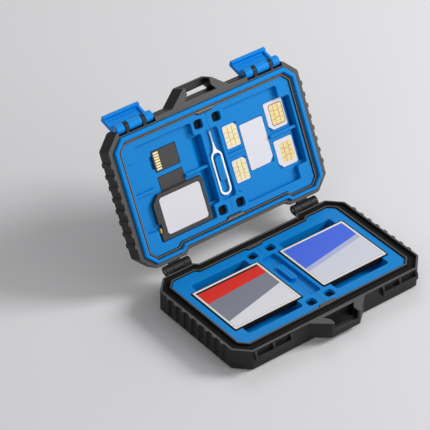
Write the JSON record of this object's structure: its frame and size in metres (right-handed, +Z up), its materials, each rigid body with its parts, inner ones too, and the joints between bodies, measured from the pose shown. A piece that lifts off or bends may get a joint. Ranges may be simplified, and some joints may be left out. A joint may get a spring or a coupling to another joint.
{
  "type": "memory card case",
  "caption": "Hinged hard case with ribbed ends, split handle, snap latches and a lid seal, with moulded trays that hold memory cards, subscriber cards and an eject pin.",
  "frame": {"origin": "middle of the base shell's underside, on the surface that the case stands on", "axes": "+X along the hinge, +Y from the handle towards the hinge, +Z up out of the base"},
  "size_m": [0.1236, 0.1327, 0.0876],
  "materials": {
    "shell_black": "fine grained, matte",
    "tray_blue": "satin",
    "seal_blue": "satin",
    "latch_blue": "satin",
    "pin_steel": "ground",
    "cf_body": "satin",
    "cf_label_red": "printed film",
    "cf_label_violet": "printed film",
    "card_dark": "satin",
    "sd_label": "plain film",
    "lock_yellow": "satin",
    "sim_white": "satin",
    "chip_gold": "plated",
    "eject_steel": "bright"
  },
  "bodies": {
    "base": {"base_shell": "shell_black", "base_tray_left": "tray_blue", "base_tray_right": "tray_blue", "hinge_pin_left": "pin_steel", "hinge_pin_right": "pin_steel"},
    "lid": {"lid_shell": "shell_black", "lid_seal": "seal_blue", "lid_tray_left": "tray_blue", "lid_tray_right": "tray_blue", "latch_pin_left": "pin_steel", "latch_pin_right": "pin_steel", "microsd_lower": "card_dark"},
    "left_latch": {"latch_left": "latch_blue"},
    "right_latch": {"latch_right": "latch_blue"},
    "left_cf": {"cf_card_left": "cf_body", "cf_label_left": "cf_label_red"},
    "right_cf": {"cf_card_right": "cf_body", "cf_label_right": "cf_label_violet"},
    "sd": {"sd_card": "card_dark", "sd_label": "sd_label"},
    "lock": {"sd_lock": "lock_yellow"},
    "small_card": {"microsd_upper": "card_dark"},
    "pin": {"eject_pin": "eject_steel"},
    "mini": {"mini_sim": "sim_white"},
    "nano_upper": {"nano_sim_upper": "sim_white", "nano_sim_upper_chip": "chip_gold"},
    "nano_lower": {"nano_sim_lower": "sim_white", "nano_sim_lower_chip": "chip_gold"},
    "micro_upper": {"micro_sim_upper": "sim_white", "micro_sim_upper_chip": "chip_gold"},
    "micro_lower": {"micro_sim_lower": "sim_white", "micro_sim_lower_chip": "chip_gold"}
  },
  "joints": [
    {"name": "lid_hinge", "type": "hinge", "parent": "base", "child": "lid", "pos_m": [0, 0.03975, 0.0125], "axis": [-1, 0, 0], "range_deg": [-116, 44]},
    {"name": "left_latch_hinge", "type": "hinge", "parent": "lid", "child": "left_latch", "pos_m": [-0.041, 0.07667, 0.08044], "axis": [-1, 0, 0], "range_deg": [-140, 0]},
    {"name": "right_latch_hinge", "type": "hinge", "parent": "lid", "child": "right_latch", "pos_m": [0.041, 0.07667, 0.08044], "axis": [-1, 0, 0], "range_deg": [-140, 0]},
    {"name": "left_cf_lift", "type": "slide", "parent": "base", "child": "left_cf", "axis": [0, 0, 1], "range_m": [0, 0.02]},
    {"name": "right_cf_lift", "type": "slide", "parent": "base", "child": "right_cf", "axis": [0, 0, 1], "range_m": [0, 0.02]},
    {"name": "lock_slide", "type": "slide", "parent": "sd", "child": "lock", "axis": [0, 0.4384, 0.8988], "range_m": [0, 0.002]},
    {"name": "sd_lift", "type": "slide", "parent": "lid", "child": "sd", "axis": [0, -0.8988, 0.4384], "range_m": [0, 0.02]},
    {"name": "small_card_lift", "type": "slide", "parent": "lid", "child": "small_card", "axis": [0, -0.8988, 0.4384], "range_m": [0, 0.02]},
    {"name": "pin_lift", "type": "slide", "parent": "lid", "child": "pin", "axis": [0, -0.8988, 0.4384], "range_m": [0, 0.02]},
    {"name": "mini_lift", "type": "slide", "parent": "lid", "child": "mini", "axis": [0, -0.8988, 0.4384], "range_m": [0, 0.02]},
    {"name": "nano_upper_lift", "type": "slide", "parent": "lid", "child": "nano_upper", "axis": [0, -0.8988, 0.4384], "range_m": [0, 0.02]},
    {"name": "nano_lower_lift", "type": "slide", "parent": "lid", "child": "nano_lower", "axis": [0, -0.8988, 0.4384], "range_m": [0, 0.02]},
    {"name": "micro_upper_lift", "type": "slide", "parent": "lid", "child": "micro_upper", "axis": [0, -0.8988, 0.4384], "range_m": [0, 0.02]},
    {"name": "micro_lower_lift", "type": "slide", "parent": "lid", "child": "micro_lower", "axis": [0, -0.8988, 0.4384], "range_m": [0, 0.02]}
  ]
}
